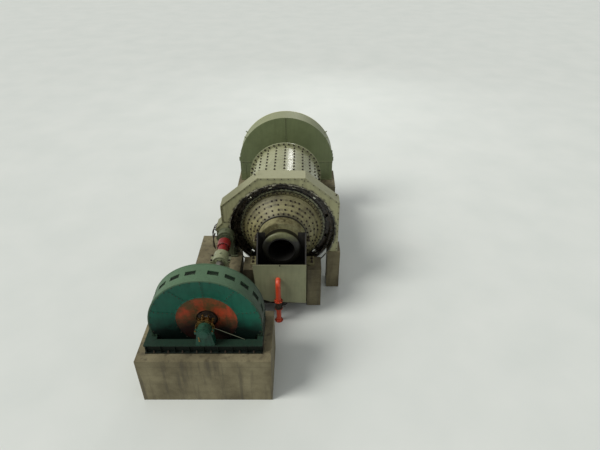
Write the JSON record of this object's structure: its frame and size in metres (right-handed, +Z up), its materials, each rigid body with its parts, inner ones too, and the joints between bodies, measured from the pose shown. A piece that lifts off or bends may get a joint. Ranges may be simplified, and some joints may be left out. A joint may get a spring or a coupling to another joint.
{
  "type": "ball mill",
  "caption": "Overflow ball mill: drum in two trunnion bearings, girth gear under a guard, scoop feeder hood, and low-speed motor on a pinion line shaft.",
  "frame": {"origin": "on the ground below the mill axis, at the middle of the discharge bearing", "axes": "+Z up; +Y along the mill axis from the discharge end to the feed end; +X to the right as seen from the discharge end"},
  "size_m": [7.2602, 13.7945, 5.47],
  "materials": {
    "concrete": "bare cast concrete, dusty",
    "cream_paint": "semi-gloss, dusty",
    "greased_steel": "wet open-gear grease",
    "grey_green_paint": "semi-gloss",
    "sea_green_paint": "semi-gloss",
    "dark_teal_paint": "gloss",
    "warm_red_paint": "semi-gloss",
    "crimson_paint": "gloss",
    "bare_steel": "machined, oiled",
    "black_varnish": "matt, stained",
    "brush_brass": "dull"
  },
  "bodies": {
    "root": {"drive_foundation": "concrete", "discharge_pier": "concrete", "feed_pier": "concrete", "guard_wall": "concrete", "discharge_bearing_base": "cream_paint", "discharge_bearing_cap": "cream_paint", "feed_bearing_base": "cream_paint", "feed_bearing_cap": "cream_paint", "guard_front": "cream_paint", "guard_back": "cream_paint", "guard_roof": "cream_paint", "guard_left_side": "cream_paint", "guard_right_side": "cream_paint", "line_shaft_bearing": "cream_paint", "discharge_front_plate": "cream_paint", "pinion_front_bearing": "grey_green_paint", "pinion_back_bearing": "grey_green_paint", "hood_left": "grey_green_paint", "hood_right": "grey_green_paint", "hood_skirt": "grey_green_paint", "feed_spout": "grey_green_paint", "stator_frame": "sea_green_paint", "motor_base_frame": "dark_teal_paint", "front_end_shield": "dark_teal_paint", "back_end_shield": "dark_teal_paint", "front_pedestal": "dark_teal_paint", "back_pedestal": "dark_teal_paint", "front_air_guide": "warm_red_paint", "back_air_guide": "warm_red_paint", "flush_water_inlet": "warm_red_paint", "stator_core": "black_varnish", "discharge_box": "black_varnish", "brush_gear": "brush_brass"},
    "drum": {"shell": "cream_paint", "discharge_head": "cream_paint", "feed_head": "cream_paint", "discharge_bell": "cream_paint", "girth_gear": "greased_steel", "feeder_drum": "cream_paint", "feeder_end_plate": "cream_paint", "feeder_scoops": "cream_paint"},
    "drive_line": {"pinion": "greased_steel", "pinion_shaft": "bare_steel", "coupling_pinion_half": "crimson_paint", "coupling_shaft_half": "crimson_paint", "line_shaft": "bare_steel", "motor_rotor": "black_varnish", "slip_rings": "brush_brass"}
  },
  "joints": [
    {"name": "drum_spin", "type": "hinge", "parent": "root", "child": "drum", "pos_m": [0, 3.375, 3], "axis": [0, 1, 0], "continuous": true},
    {"name": "pinion_spin", "type": "hinge", "parent": "root", "child": "drive_line", "pos_m": [-2.34922, 3.375, 2.85], "axis": [0, 1, 0], "continuous": true}
  ],
  "couplings": [
    {"joint": "pinion_spin", "follows": "drum_spin", "ratio": -8.7273}
  ]
}
